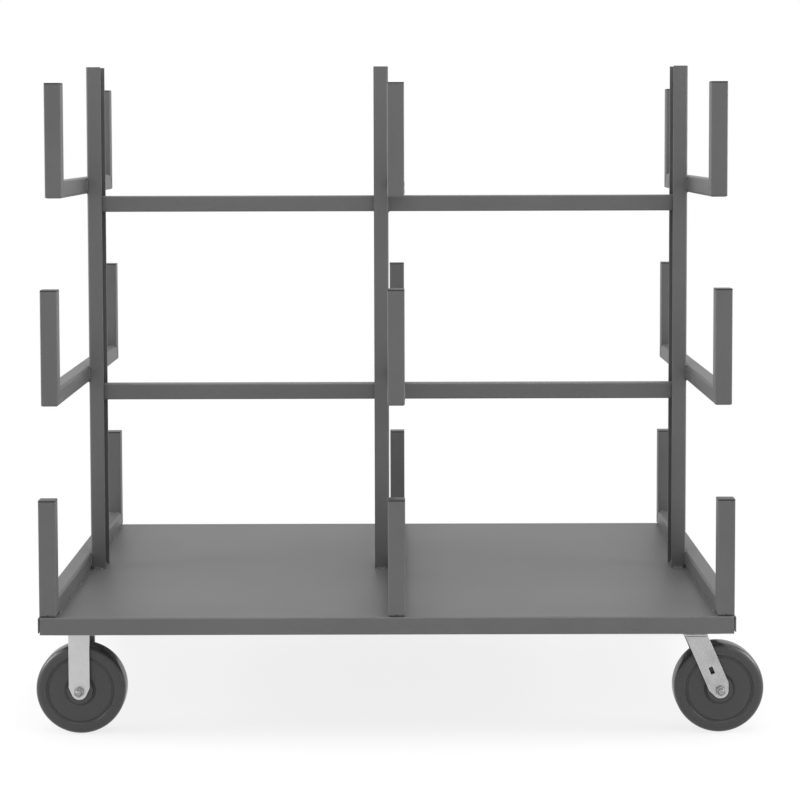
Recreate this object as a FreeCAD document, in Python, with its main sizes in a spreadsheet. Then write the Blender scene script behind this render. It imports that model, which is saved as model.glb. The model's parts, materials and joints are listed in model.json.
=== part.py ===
import FreeCAD, Part
import math
import operator
import os

import Sketcher

# A welded pipe cart: a flanged sheet-steel deck on two rigid and two swivel
# casters, with three uprights that carry cradle arms on three levels.
# Millimetres. X runs along the deck towards the swivel casters, Y runs from
# front to back and Z up. The origin lies on the floor, in the middle of the
# four wheel contacts.

# Driving dimensions

SIZES = {
    # deck tray of bent sheet
    "deck_length": 1530.4,
    "deck_width": 768.4,
    "deck_gauge": 2.66,
    "deck_bend": 4.0,
    "corner_slit": 2.6,
    "side_flange": 38.1,
    "end_lift": 3.1,
    # channels under the deck, which carry the casters
    "bolster_gauge": 2.66,
    "bolster_bend": 5.0,
    "bolster_gap": 2.0,
    "bolster_inset": 16.94,
    "plate_margin": 5.35,
    # uprights of bent channel
    "upright_height": 1219.2,
    "upright_depth": 50.8,
    "upright_width": 34.9,
    "upright_gauge": 3.04,
    "upright_bend": 5.0,
    "centre_shift": 2.5,
    # flat tube of the stakes and rails, and the deeper tube of the arms
    "tube_wide": 38.1,
    "tube_thin": 25.4,
    "tube_wall": 2.11,
    "tube_corner": 3.2,
    "arm_deep": 38.1,
    "arm_wall": 3.04,
    "arm_corner": 6.0,
    # rack: steps in from the deck's edges, and heights
    "rack_inset": 3.2,
    "mid_step": 38.1,
    "top_step": 57.15,
    "level_pitch": 457.2,
    "stake_height": 258.3,
    "rail_drop": 6.35,
    "mitre_round": 5.5,
    "drain_radius": 2.5,
    # end caps of the stakes
    "cap_lip": 3.8,
    "cap_plug": 12.0,
    "cap_play": 0.15,
    # caster placing
    "head_height": 40.0,
    "caster_side": 68.0,
    "swivel_lead": 55.6,
    # caster top plate and its fasteners
    "plate_length": 114.3,
    "plate_width": 101.6,
    "plate_gauge": 6.35,
    "plate_corner": 8.0,
    "hole_end": 11.1,
    "hole_side": 22.2,
    "mount_bolt": 9.5,
    "mount_play": 0.4,
    "mount_across": 14.3,
    "mount_head": 5.0,
    "mount_nut": 8.3,
    "thread_end": 2.5,
    # fork strap
    "fork_gauge": 5.0,
    "fork_width": 46.0,
    "fork_bend": 6.5,
    "tip_radius": 17.5,
    "taper_rise": 9.0,
    "slot_rise": 49.0,
    "slot_length": 17.0,
    "slot_width": 9.4,
    # swivel head
    "slant_drop": 3.2,
    "race_gap": 1.5,
    "crown_step": 0.5,
    "race_rim": 7.5,
    "race_radius": 20.0,
    "race_height": 0.65,
    "ball_size": 7.9,
    "race_play": 0.3,
    "kingpin": 15.88,
    "kingpin_across": 23.8,
    "kingpin_nut": 9.5,
    "kingpin_cap": 26.0,
    "kingpin_cap_depth": 4.0,
    "kingpin_fit": 0.08,
    "seat_fit": 0.1,
    "nut_gap": 0.3,
    # wheel and its bearing
    "wheel_size": 200.0,
    "wheel_width": 48.0,
    "wheel_edge": 14.0,
    "hub_rise": 2.6,
    "hub_radius": 32.2,
    "hub_play": 0.5,
    "web_recess": 1.2,
    "groove_radius": 72.5,
    "groove_width": 4.4,
    "groove_depth": 2.0,
    "wheel_bore": 34.9,
    "sleeve_size": 22.2,
    "roller_play": 0.08,
    "roller_inset": 4.0,
    # axle
    "axle_bolt": 12.7,
    "axle_play": 0.2,
    "axle_across": 19.05,
    "axle_head": 8.0,
    "axle_nut": 9.0,
    # how far cutting shapes overshoot
    "cut_margin": 6.0,
}

ROLLERS = 12
BALLS = 12

doc = FreeCAD.newDocument("pipe_cart")
sheet = doc.addObject("Spreadsheet::Sheet", "Sizes")
for row, (alias, number) in enumerate(SIZES.items(), start=1):
    sheet.set(f"A{row}", alias)
    sheet.set(f"B{row}", str(number))
    sheet.setAlias(f"B{row}", alias)
doc.recompute()

# Sizes as formulas

SIGNS = {"+": operator.add, "-": operator.sub, "*": operator.mul, "/": operator.truediv}


class Size:
    """A measure as a number, with the formula on the sheet that gives it."""

    def __init__(self, number, formula):
        self.number = number
        self.formula = formula

    def joined(self, sign, other, turned=False):
        first, second = (size_of(other), self) if turned else (self, size_of(other))
        number = SIGNS[sign](first.number, second.number)
        return Size(number, f"({first.formula} {sign} {second.formula})")

    def __add__(self, other):
        return self.joined("+", other)

    def __radd__(self, other):
        return self.joined("+", other, turned=True)

    def __sub__(self, other):
        return self.joined("-", other)

    def __rsub__(self, other):
        return self.joined("-", other, turned=True)

    def __mul__(self, other):
        return self.joined("*", other)

    def __rmul__(self, other):
        return self.joined("*", other, turned=True)

    def __truediv__(self, other):
        return self.joined("/", other)

    def __neg__(self):
        return self.joined("*", -1)


def size_of(value):
    return value if isinstance(value, Size) else Size(value, f"({value})")


def root(size):
    return Size(math.sqrt(size.number), f"sqrt({size.formula})")


class Sheet:
    """The driving dimensions by name."""

    def __getattr__(self, alias):
        return Size(SIZES[alias], f"Sizes.{alias}")


s = Sheet()

# Tools for sketches, features and places

LINE_START, LINE_END, CENTRE = range(1, 4)
ORIGIN_POINT = (-1, LINE_START)
UP = FreeCAD.Vector(0, 0, 1)
ALONG_X = FreeCAD.Vector(1, 0, 0)


def bind(thing, **sizes):
    """Tie properties of an object to formulas on the sheet."""
    for name, size in sizes.items():
        thing.setExpression(name, size_of(size).formula)


def place(thing, x=0, y=0, z=0, turn=0, about=UP):
    """Turn an object about an axis through its own origin, then set it at a point."""
    sizes = [size_of(value) for value in (x, y, z)]
    base = FreeCAD.Vector(*[size.number for size in sizes])
    thing.Placement = FreeCAD.Placement(base, FreeCAD.Rotation(about, turn))
    for axis, size in zip("xyz", sizes):
        thing.setExpression(f"Placement.Base.{axis}", size.formula)
    return thing


def name_node(thing, label):
    """Give a finished sub-part the name of its file."""
    thing.Label = label
    nodes.append(thing)
    return thing


def new_body(name):
    return doc.addObject("PartDesign::Body", name)


def sketch_on(body, plane):
    """A sketch on one of a body's own origin planes."""
    sketch = body.newObject("Sketcher::SketchObject", "Outline")
    support = next(item for item in body.Origin.OriginFeatures if item.Role == plane)
    sketch.AttachmentSupport = [(support, "")]
    sketch.MapMode = "FlatFace"
    return sketch


def fix(sketch, kind, places, size):
    """Add a measured constraint and tie it to its formula."""
    index = sketch.addConstraint(Sketcher.Constraint(kind, *places, size.number))
    sketch.setExpression(f"Constraints[{index}]", size.formula)


def fix_point(sketch, item, end, x, y):
    fix(sketch, "DistanceX", (*ORIGIN_POINT, item, end), x)
    fix(sketch, "DistanceY", (*ORIGIN_POINT, item, end), y)


def sign(value):
    return (value > 0) - (value < 0)


class Corner:
    """A corner of an outline, square, or round between two lines along the axes."""

    def __init__(self, x, y, radius=None):
        self.x, self.y = size_of(x), size_of(y)
        self.radius = None if radius is None else size_of(radius)
        self.arrive = self.leave = self.point(0, 0)

    def point(self, dx, dy):
        return FreeCAD.Vector(self.x.number + dx, self.y.number + dy, 0)

    def turn_between(self, before, after):
        """Find the arc's centre and the two points where it meets the lines."""
        here, back, ahead = (corner.point(0, 0) for corner in (self, before, after))
        to_back = FreeCAD.Vector(sign(back.x - here.x), sign(back.y - here.y), 0)
        to_ahead = FreeCAD.Vector(sign(ahead.x - here.x), sign(ahead.y - here.y), 0)
        reach = self.radius.number
        self.arrive = here + to_back * reach
        self.leave = here + to_ahead * reach
        self.centre_x = self.x + (to_back.x + to_ahead.x) * self.radius
        self.centre_y = self.y + (to_back.y + to_ahead.y) * self.radius
        self.left_turn = to_back.x * to_ahead.y - to_back.y * to_ahead.x < 0

    def arc(self):
        """The arc, which always runs counter-clockwise."""
        centre = FreeCAD.Vector(self.centre_x.number, self.centre_y.number, 0)
        first, last = (self.arrive, self.leave) if self.left_turn else (self.leave, self.arrive)
        angles = [math.atan2(end.y - centre.y, end.x - centre.x) for end in (first, last)]
        circle = Part.Circle(centre, UP, self.radius.number)
        return Part.ArcOfCircle(circle, *angles)


def outline(sketch, points):
    """A closed outline through corners of (x, y) or, for a round one, (x, y, radius)."""
    corners = [Corner(*point) for point in points]
    for index, corner in enumerate(corners):
        if corner.radius is not None:
            corner.turn_between(corners[index - 1], corners[(index + 1) % len(corners)])
    lines = []
    for index, corner in enumerate(corners):
        ahead = corners[(index + 1) % len(corners)]
        lines.append(sketch.addGeometry(Part.LineSegment(corner.leave, ahead.arrive), False))
    for index, corner in enumerate(corners):
        line_in, line_out = lines[index - 1], lines[index]
        if corner.radius is None:
            sketch.addConstraint(
                Sketcher.Constraint("Coincident", line_in, LINE_END, line_out, LINE_START))
            fix_point(sketch, line_out, LINE_START, corner.x, corner.y)
            continue
        arc = sketch.addGeometry(corner.arc(), False)
        near, far = (LINE_START, LINE_END) if corner.left_turn else (LINE_END, LINE_START)
        sketch.addConstraint(Sketcher.Constraint("Tangent", line_in, LINE_END, arc, near))
        sketch.addConstraint(Sketcher.Constraint("Tangent", arc, far, line_out, LINE_START))
        fix(sketch, "Radius", (arc,), corner.radius)
        fix_point(sketch, arc, CENTRE, corner.centre_x, corner.centre_y)


def rectangle(sketch, low_x, low_y, high_x, high_y, radius=None):
    outline(sketch, [(low_x, low_y, radius), (high_x, low_y, radius),
                     (high_x, high_y, radius), (low_x, high_y, radius)])


def circle(sketch, x, y, radius):
    x, y, radius = size_of(x), size_of(y), size_of(radius)
    centre = FreeCAD.Vector(x.number, y.number, 0)
    item = sketch.addGeometry(Part.Circle(centre, UP, radius.number), False)
    fix(sketch, "Radius", (item,), radius)
    fix_point(sketch, item, CENTRE, x, y)


def pad(body, sketch, length, both=False, reverse=False):
    """Thicken a sketch to one side, or half to each side."""
    feature = body.newObject("PartDesign::Pad", "Pad")
    feature.Profile = sketch
    feature.SideType = "Symmetric" if both else "One side"
    feature.Reversed = reverse
    bind(feature, Length=length)
    body.Tip = feature


def pocket(body, sketch, depth=None):
    """Cut a sketch through everything, or to a depth behind its plane."""
    feature = body.newObject("PartDesign::Pocket", "Pocket")
    feature.Profile = sketch
    if depth is None:
        feature.Type = "ThroughAll"
        feature.SideType = "Symmetric"
    else:
        bind(feature, Length=depth)
    body.Tip = feature


def cylinder(radius, height):
    solid = doc.addObject("Part::Cylinder", "Cylinder")
    bind(solid, Radius=radius, Height=height)
    return solid


def ring_groove(radius, section):
    solid = doc.addObject("Part::Torus", "Groove")
    bind(solid, Radius1=radius, Radius2=section)
    return solid


def cut(base, tool):
    solid = doc.addObject("Part::Cut", "Cut")
    solid.Base, solid.Tool = base, tool
    return solid


def fuse(*pieces):
    solid = doc.addObject("Part::MultiFuse", "Fuse")
    solid.Shapes = list(pieces)
    solid.Refine = True
    return solid


def common(base, tool):
    solid = doc.addObject("Part::Common", "Common")
    solid.Base, solid.Tool = base, tool
    return solid


def group(label, pieces):
    """Several like pieces under one name."""
    compound = doc.addObject("Part::Compound", "Group")
    compound.Links = pieces
    return name_node(compound, label)


nodes = []

# Places that several pieces share

SIDES = {"front": -1, "back": 1}

deck_x = -s.swivel_lead / 2
caster_height = s.wheel_size + s.head_height
deck_top = caster_height + s.side_flange
deck_under = deck_top - s.deck_gauge

arm_inner = s.deck_length / 2 - s.rack_inset - s.tube_wide
low_arm = s.deck_width - 2 * s.rack_inset
mid_arm = low_arm - 2 * s.mid_step
top_arm = mid_arm - 2 * s.top_step
mitre_slope = s.arm_deep / s.tube_thin

bolster_half = s.plate_length / 2 + s.plate_margin
caster_reach = s.deck_length / 2 - s.deck_gauge - s.bolster_inset - bolster_half
caster_out = s.deck_width / 2 - s.caster_side
rigid_x = deck_x - caster_reach
swivel_x = deck_x + caster_reach

axle_z = s.wheel_size / 2
axle_hole = s.axle_bolt / 2 + s.axle_play
hub_half = s.wheel_width / 2 + s.hub_rise
fork_inner = hub_half + s.hub_play
fork_outer = fork_inner + s.fork_gauge

plate_under = caster_height - s.plate_gauge
race_under = plate_under - s.race_height
crown_top = race_under - s.race_gap
strap_top = crown_top - s.crown_step
crown_under = strap_top - s.fork_gauge
crown_radius = s.race_radius + s.race_rim
ball_z = (race_under + crown_top) / 2
slant_rise = strap_top - axle_z - s.slant_drop

# Deck tray


def deck_tray():
    """The top sheet with its side flanges, then the two ends, open at the corners."""
    body = new_body("DeckTray")
    half_width = s.deck_width / 2
    inside = half_width - s.deck_gauge
    inner_bend = s.deck_bend - s.deck_gauge
    low = deck_top - s.side_flange
    section = sketch_on(body, "YZ_Plane")
    outline(section, [
        (-half_width, low), (-inside, low),
        (-inside, deck_under, inner_bend), (inside, deck_under, inner_bend),
        (inside, low), (half_width, low),
        (half_width, deck_top, s.deck_bend), (-half_width, deck_top, s.deck_bend)])
    pad(body, section, s.deck_length - 2 * (s.deck_gauge + s.corner_slit), both=True)
    for side in (-1, 1):
        outer = side * s.deck_length / 2
        inner = outer - side * s.deck_gauge
        start = outer - side * 3 * s.deck_bend
        end_low = deck_top - s.side_flange + s.end_lift
        end = sketch_on(body, "XZ_Plane")
        outline(end, [
            (start, deck_under), (inner, deck_under, inner_bend), (inner, end_low),
            (outer, end_low), (outer, deck_top, s.deck_bend), (start, deck_top)])
        pad(body, end, s.deck_width - 2 * s.deck_bend, both=True)
    name_node(place(body, x=deck_x), "deck_tray")


# Bolsters under the deck


def bolster(label, shift, drilled):
    """A channel across the deck, open upwards, drilled where casters bolt on."""
    body = new_body("Bolster")
    half = bolster_half
    inside = half - s.bolster_gauge
    inner_bend = s.bolster_bend - s.bolster_gauge
    floor = caster_height + s.bolster_gauge
    section = sketch_on(body, "XZ_Plane")
    outline(section, [
        (-half, caster_height, s.bolster_bend), (half, caster_height, s.bolster_bend),
        (half, deck_under), (inside, deck_under),
        (inside, floor, inner_bend), (-inside, floor, inner_bend),
        (-inside, deck_under), (-half, deck_under)])
    pad(body, section, s.deck_width - 2 * (s.deck_gauge + s.bolster_gap), both=True)
    if drilled:
        holes = sketch_on(body, "XY_Plane")
        for side in SIDES.values():
            plate_holes(holes, side * caster_out)
        pocket(body, holes)
    name_node(place(body, x=deck_x + shift), label)


def plate_holes(sketch, y):
    """Four bolt holes round the middle of a caster plate."""
    for x_out, y_out in hole_offsets():
        circle(sketch, x_out, y + y_out, s.mount_bolt / 2 + s.mount_play)


def hole_offsets():
    along, across = s.plate_length / 2 - s.hole_end, s.plate_width / 2 - s.hole_side
    return [(x_side * along, y_side * across) for x_side in (-1, 1) for y_side in (-1, 1)]


# Uprights


def upright(label, web_x, turn):
    """A channel on end; its web faces the arms and its open side the rails."""
    body = new_body("Upright")
    half = s.upright_depth / 2
    inside = half - s.upright_gauge
    inner_bend = s.upright_bend - s.upright_gauge
    section = sketch_on(body, "XY_Plane")
    outline(section, [
        (0, -half, s.upright_bend), (s.upright_width, -half),
        (s.upright_width, -inside), (s.upright_gauge, -inside, inner_bend),
        (s.upright_gauge, inside, inner_bend), (s.upright_width, inside),
        (s.upright_width, half), (0, half, s.upright_bend)])
    pad(body, section, s.upright_height)
    name_node(place(body, x=deck_x + web_x, z=deck_top, turn=turn), label)


# Tubes of the rack


def tube_section(sketch, low_x, low_y, high_x, high_y, wall, corner):
    """A tube's section between two corner points."""
    rectangle(sketch, low_x, low_y, high_x, high_y, corner)
    rectangle(sketch, low_x + wall, low_y + wall, high_x - wall, high_y - wall, corner - wall)


def rail(label, start, end, level):
    """A rail between two uprights, just below the arms of a level."""
    body = new_body("Rail")
    section = sketch_on(body, "YZ_Plane")
    half = s.tube_thin / 2
    tube_section(section, -half, 0, half, s.tube_wide, s.tube_wall, s.tube_corner)
    pad(body, section, end - start)
    low = deck_top + level * s.level_pitch - s.rail_drop - s.tube_wide
    name_node(place(body, x=deck_x + start, z=low), label)


def round_off(body, y, inward):
    """Round the lower outer edge of a mitred corner; inward is the sense of Y into the piece."""
    corner = sketch_on(body, "YZ_Plane")
    reach = s.mitre_round + s.cut_margin
    within, beyond = y + inward * reach, y - inward * s.cut_margin
    outline(corner, [
        (beyond, -s.cut_margin), (within, -s.cut_margin), (within, 0),
        (y, 0, s.mitre_round), (y, reach), (beyond, reach)])
    pocket(body, corner)


def arm(label, middle, length, level):
    """A cradle arm across an upright, mitred at both ends."""
    body = new_body("Arm")
    half = s.tube_wide / 2
    section = sketch_on(body, "XZ_Plane")
    tube_section(section, -half, 0, half, s.arm_deep, s.arm_wall, s.arm_corner)
    pad(body, section, length, both=True)
    over = s.cut_margin * mitre_slope
    mitres = sketch_on(body, "YZ_Plane")
    for side in SIDES.values():
        tip = side * (length / 2 + s.cut_margin)
        root_y = side * (length / 2 - s.tube_thin - s.cut_margin)
        top = s.arm_deep + over
        outline(mitres, [(tip, -over), (tip, top), (root_y, top)])
    pocket(body, mitres)
    for side in SIDES.values():
        round_off(body, side * length / 2, -side)
    name_node(place(body, x=deck_x + middle, z=deck_top + level * s.level_pitch), label)


def stake(middle, length, level, side):
    """An upright end of an arm, mitred at its foot; the lowest ones have a drain notch."""
    body = new_body("Stake")
    half = s.tube_wide / 2
    section = sketch_on(body, "XY_Plane")
    tube_section(section, -half, 0, half, s.tube_thin, s.tube_wall, s.tube_corner)
    pad(body, section, s.stake_height - s.cap_lip)
    mitre = sketch_on(body, "YZ_Plane")
    near, far = -s.cut_margin, s.tube_thin + s.cut_margin
    outline(mitre, [(near, near * mitre_slope), (far, near * mitre_slope), (far, far * mitre_slope)])
    pocket(body, mitre)
    round_off(body, 0, 1)
    if level == 0:
        notch = sketch_on(body, "XZ_Plane")
        circle(notch, 0, s.drain_radius, s.drain_radius)
        pocket(body, notch, s.tube_wall)
    turn = 0 if side < 0 else 180
    return place(body, x=deck_x + middle, y=side * length / 2,
                 z=deck_top + level * s.level_pitch, turn=turn)


def stake_cap(middle, length, level, side):
    """A cap with a plug that sits in the open top of a stake."""
    body = new_body("StakeCap")
    half_wide, half_thin = s.tube_wide / 2, s.tube_thin / 2
    lip = sketch_on(body, "XY_Plane")
    rectangle(lip, -half_wide, -half_thin, half_wide, half_thin, s.tube_corner)
    pad(body, lip, s.cap_lip)
    inset = s.tube_wall + s.cap_play
    plug = sketch_on(body, "XY_Plane")
    rectangle(plug, inset - half_wide, inset - half_thin, half_wide - inset, half_thin - inset,
              s.tube_corner - s.tube_wall)
    pad(body, plug, s.cap_plug, reverse=True)
    return place(body, x=deck_x + middle, y=side * (length / 2 - half_thin),
                 z=deck_top + level * s.level_pitch + s.stake_height - s.cap_lip)


# Rack


def rack():
    """Uprights, rails, arms and stakes, station by station and level by level."""
    upright("upright_left", -arm_inner, 0)
    upright("upright_centre", s.centre_shift, 180)
    upright("upright_right", arm_inner, 180)

    left_start, right_end = -arm_inner + s.upright_gauge, arm_inner - s.upright_gauge
    for name, level in (("lower", 1), ("upper", 2)):
        rail(f"rail_{name}_left", left_start, s.centre_shift - s.upright_gauge, level)
        rail(f"rail_{name}_right", s.centre_shift, right_end, level)

    stations = {
        "left": -arm_inner - s.tube_wide / 2,
        "centre": s.centre_shift + s.tube_wide / 2,
        "right": arm_inner + s.tube_wide / 2,
    }
    caps = []
    for level, (name, length) in enumerate((("low", low_arm), ("mid", mid_arm), ("top", top_arm))):
        for station, middle in stations.items():
            arm(f"arm_{name}_{station}", middle, length, level)
            pair = [stake(middle, length, level, side) for side in SIDES.values()]
            group(f"stakes_{name}_{station}", pair)
            caps += [stake_cap(middle, length, level, side) for side in SIDES.values()]
    group("stake_caps", caps)


# Fasteners


def hexagon(across, height):
    solid = doc.addObject("Part::Prism", "Hexagon")
    solid.Polygon = 6
    bind(solid, Circumradius=across / math.sqrt(3), Height=height)
    return solid


def bolt(size, across, head, length):
    """A hexagon bolt; the shank runs up from the head's seat at the origin."""
    crown = place(hexagon(across, head), z=-head)
    return fuse(crown, cylinder(size / 2, length))


def nut(size, across, height):
    """A hexagon nut that sits on the plane through its origin."""
    return cut(hexagon(across, height), cylinder(size / 2 + s.seat_fit, height))


# Caster plates


def top_plate():
    """The drilled plate that bolts under a bolster."""
    body = new_body("TopPlate")
    half_length, half_width = s.plate_length / 2, s.plate_width / 2
    face = sketch_on(body, "XY_Plane")
    rectangle(face, -half_length, -half_width, half_length, half_width, s.plate_corner)
    plate_holes(face, size_of(0))
    pad(body, face, s.plate_gauge)
    return body


def swivel_plate():
    """A top plate with the upper ball race and the seat of the kingpin."""
    body = top_plate()
    race = sketch_on(body, "XY_Plane")
    circle(race, 0, 0, crown_radius)
    pad(body, race, s.race_height, reverse=True)
    groove = place(ring_groove(s.race_radius, s.ball_size / 2 + s.seat_fit), z=ball_z - plate_under)
    shank = place(cylinder(s.kingpin / 2 + s.seat_fit, s.plate_gauge + s.race_height), z=-s.race_height)
    seat_z = s.plate_gauge - s.kingpin_cap_depth
    seat = place(cylinder(s.kingpin_cap / 2 + s.seat_fit, s.kingpin_cap_depth), z=seat_z)
    return cut(body, fuse(groove, shank, seat))


# Forks


def fork_strap(top, length):
    """A strap bent over the wheel, as long as the widest leg needs."""
    body = new_body("ForkStrap")
    section = sketch_on(body, "YZ_Plane")
    low = axle_z - 2 * s.tip_radius
    under = top - s.fork_gauge
    inner_bend = s.fork_bend - s.fork_gauge
    outline(section, [
        (-fork_outer, low), (-fork_inner, low),
        (-fork_inner, under, inner_bend), (fork_inner, under, inner_bend),
        (fork_inner, low), (fork_outer, low),
        (fork_outer, top, s.fork_bend), (-fork_outer, top, s.fork_bend)])
    pad(body, section, length, both=True)
    return body


def leg_outline(lean, rise, top, slotted):
    """The side view of a leg round its axle: a strap along a slant, tapered to a round tip."""
    body = new_body("LegOutline")
    face = sketch_on(body, "XZ_Plane")
    reach = root(lean * lean + rise * rise)
    up_x, up_z = -lean / reach, rise / reach
    half = s.fork_width / 2

    def along(distance, offset):
        """A point at a distance up the leg and an offset across it."""
        return distance * up_x + offset * up_z, axle_z + distance * up_z - offset * up_x

    shoulders = {side: along(s.taper_rise, side * half) for side in (-1, 1)}
    tops = {}
    for side, (x, z) in shoulders.items():
        tops[side] = (x + up_x * (top - z) / up_z, top)

    corners = [shoulders[1], tops[1], tops[-1], shoulders[-1]]
    points = [FreeCAD.Vector(x.number, z.number, 0) for x, z in corners]
    lines = []
    for first, last in zip(points, points[1:]):
        lines.append(face.addGeometry(Part.LineSegment(first, last), False))
    for before, after in zip(lines, lines[1:]):
        face.addConstraint(Sketcher.Constraint("Coincident", before, LINE_END, after, LINE_START))
    for line, (x, z) in zip(lines, corners):
        fix_point(face, line, LINE_START, x, z)
    fix_point(face, lines[-1], LINE_END, *corners[-1])

    centre = FreeCAD.Vector(0, axle_z.number, 0)
    tip = Part.Circle(centre, UP, s.tip_radius.number)
    slope = math.atan2(up_x.number, up_z.number)
    arc = face.addGeometry(Part.ArcOfCircle(tip, math.pi - slope, 2 * math.pi - slope), False)
    fix(face, "Radius", (arc,), s.tip_radius)
    fix_point(face, arc, CENTRE, size_of(0), axle_z)
    across = FreeCAD.Vector(up_z.number, -up_x.number, 0) * s.tip_radius.number
    for shoulder, line, line_end, arc_end, side in (
            (points[3], lines[-1], LINE_END, LINE_START, -1),
            (points[0], lines[0], LINE_START, LINE_END, 1)):
        taper = face.addGeometry(Part.LineSegment(shoulder, centre + across * side), False)
        face.addConstraint(Sketcher.Constraint("Coincident", line, line_end, taper, LINE_START))
        face.addConstraint(Sketcher.Constraint("Tangent", taper, LINE_END, arc, arc_end))

    circle(face, 0, axle_z, axle_hole)
    if slotted:
        low, high = s.slot_rise - s.slot_length / 2, s.slot_rise + s.slot_length / 2
        edge = s.slot_width / 2
        outline(face, [along(low, -edge), along(low, edge), along(high, edge), along(high, -edge)])
    pad(body, face, 3 * fork_outer, both=True)
    return body


def rigid_fork():
    """A straight strap that stands under its plate."""
    strap = fork_strap(plate_under, 2 * s.fork_width)
    return common(strap, leg_outline(size_of(0), slant_rise, plate_under, slotted=False))


def swivel_fork():
    """A slanted strap round the axle, with a crown that turns on the balls."""
    strap = fork_strap(strap_top, 2 * (s.swivel_lead + s.fork_width))
    legs = common(strap, leg_outline(s.swivel_lead, slant_rise, strap_top, slotted=True))
    disc = cylinder(crown_radius, crown_top - crown_under)
    place(disc, x=-s.swivel_lead, z=crown_under)
    groove = place(ring_groove(s.race_radius, s.ball_size / 2 + s.race_play), x=-s.swivel_lead, z=ball_z)
    bore = cylinder(s.kingpin / 2 + s.kingpin_fit, crown_top - crown_under + 2 * s.cut_margin)
    place(bore, x=-s.swivel_lead, z=crown_under - s.cut_margin)
    return cut(fuse(legs, disc), fuse(groove, bore))


# Swivel head


def kingpin():
    """The pivot bolt with a flush head in the plate, down through the crown and its nut."""
    length = caster_height - crown_under + s.nut_gap + s.kingpin_nut + s.thread_end
    head = place(cylinder(s.kingpin_cap / 2, s.kingpin_cap_depth), z=-s.kingpin_cap_depth)
    return fuse(head, place(cylinder(s.kingpin / 2, length), z=-length))


def balls(x, y):
    """The ring of balls between the two races."""
    pieces = []
    for index in range(BALLS):
        angle = 2 * math.pi * index / BALLS
        ball = doc.addObject("Part::Sphere", "Ball")
        bind(ball, Radius=s.ball_size / 2)
        pieces.append(place(ball, x=x + math.cos(angle) * s.race_radius,
                            y=y + math.sin(angle) * s.race_radius, z=ball_z))
    return pieces


# Wheel, bearing and axle


def wheel():
    """A moulded wheel turned about its axle, with a raised hub and a ring groove on each face."""
    body = new_body("Wheel")
    section = sketch_on(body, "YZ_Plane")
    rim, tread = s.wheel_width / 2, s.wheel_size / 2
    hub, web = hub_half, s.wheel_width / 2 - s.web_recess
    groove = web - s.groove_depth
    inner, outer = s.groove_radius - s.groove_width / 2, s.groove_radius + s.groove_width / 2
    bore = s.wheel_bore / 2
    outline(section, [
        (-hub, bore), (hub, bore),
        (hub, s.hub_radius), (web, s.hub_radius),
        (web, inner), (groove, inner), (groove, outer), (rim, outer),
        (rim, tread, s.wheel_edge), (-rim, tread, s.wheel_edge),
        (-rim, outer), (-groove, outer), (-groove, inner), (-web, inner),
        (-web, s.hub_radius), (-hub, s.hub_radius)])
    turned = body.newObject("PartDesign::Revolution", "Revolution")
    turned.Profile = section
    turned.ReferenceAxis = (section, ["H_Axis"])
    turned.Angle = 360
    body.Tip = turned
    return body


def rollers(x, y):
    """The bearing's rollers, between the wheel's bore and the sleeve."""
    pitch = (s.wheel_bore + s.sleeve_size) / 4
    radius = (s.wheel_bore - s.sleeve_size) / 4 - s.roller_play
    length = 2 * (hub_half - s.roller_inset)
    pieces = []
    for index in range(ROLLERS):
        angle = 2 * math.pi * index / ROLLERS
        roller = cylinder(radius, length)
        pieces.append(place(roller, x=x + math.cos(angle) * pitch, y=y - length / 2,
                            z=axle_z + math.sin(angle) * pitch, turn=-90, about=ALONG_X))
    return pieces


def axle_set(x, y, side):
    """The sleeve between the legs, and the bolt with its nut on the outer side."""
    turn = -90 * side
    sleeve = cut(cylinder(s.sleeve_size / 2, 2 * fork_inner), cylinder(axle_hole, 2 * fork_inner))
    place(sleeve, x=x, y=y - side * fork_inner, z=axle_z, turn=turn, about=ALONG_X)
    shank = bolt(s.axle_bolt, s.axle_across, s.axle_head, 2 * fork_outer + s.axle_nut + s.thread_end)
    place(shank, x=x, y=y - side * fork_outer, z=axle_z, turn=turn, about=ALONG_X)
    lock = nut(s.axle_bolt, s.axle_across, s.axle_nut)
    place(lock, x=x, y=y + side * fork_outer, z=axle_z, turn=turn, about=ALONG_X)
    return sleeve, shank, lock


# Casters


def rigid_casters():
    plates, sleeves, bolts, nuts = [], [], [], []
    for name, side in SIDES.items():
        y = side * caster_out
        plates.append(place(top_plate(), x=rigid_x, y=y, z=plate_under))
        name_node(place(rigid_fork(), x=rigid_x, y=y), f"rigid_fork_{name}")
        name_node(place(wheel(), x=rigid_x, y=y, z=axle_z), f"rigid_wheel_{name}")
        group(f"rigid_rollers_{name}", rollers(rigid_x, y))
        sleeve, shank, lock = axle_set(rigid_x, y, side)
        sleeves.append(sleeve)
        bolts.append(shank)
        nuts.append(lock)
    group("rigid_plates", plates)
    group("rigid_axle_sleeves", sleeves)
    group("rigid_axle_bolts", bolts)
    group("rigid_axle_nuts", nuts)


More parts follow.
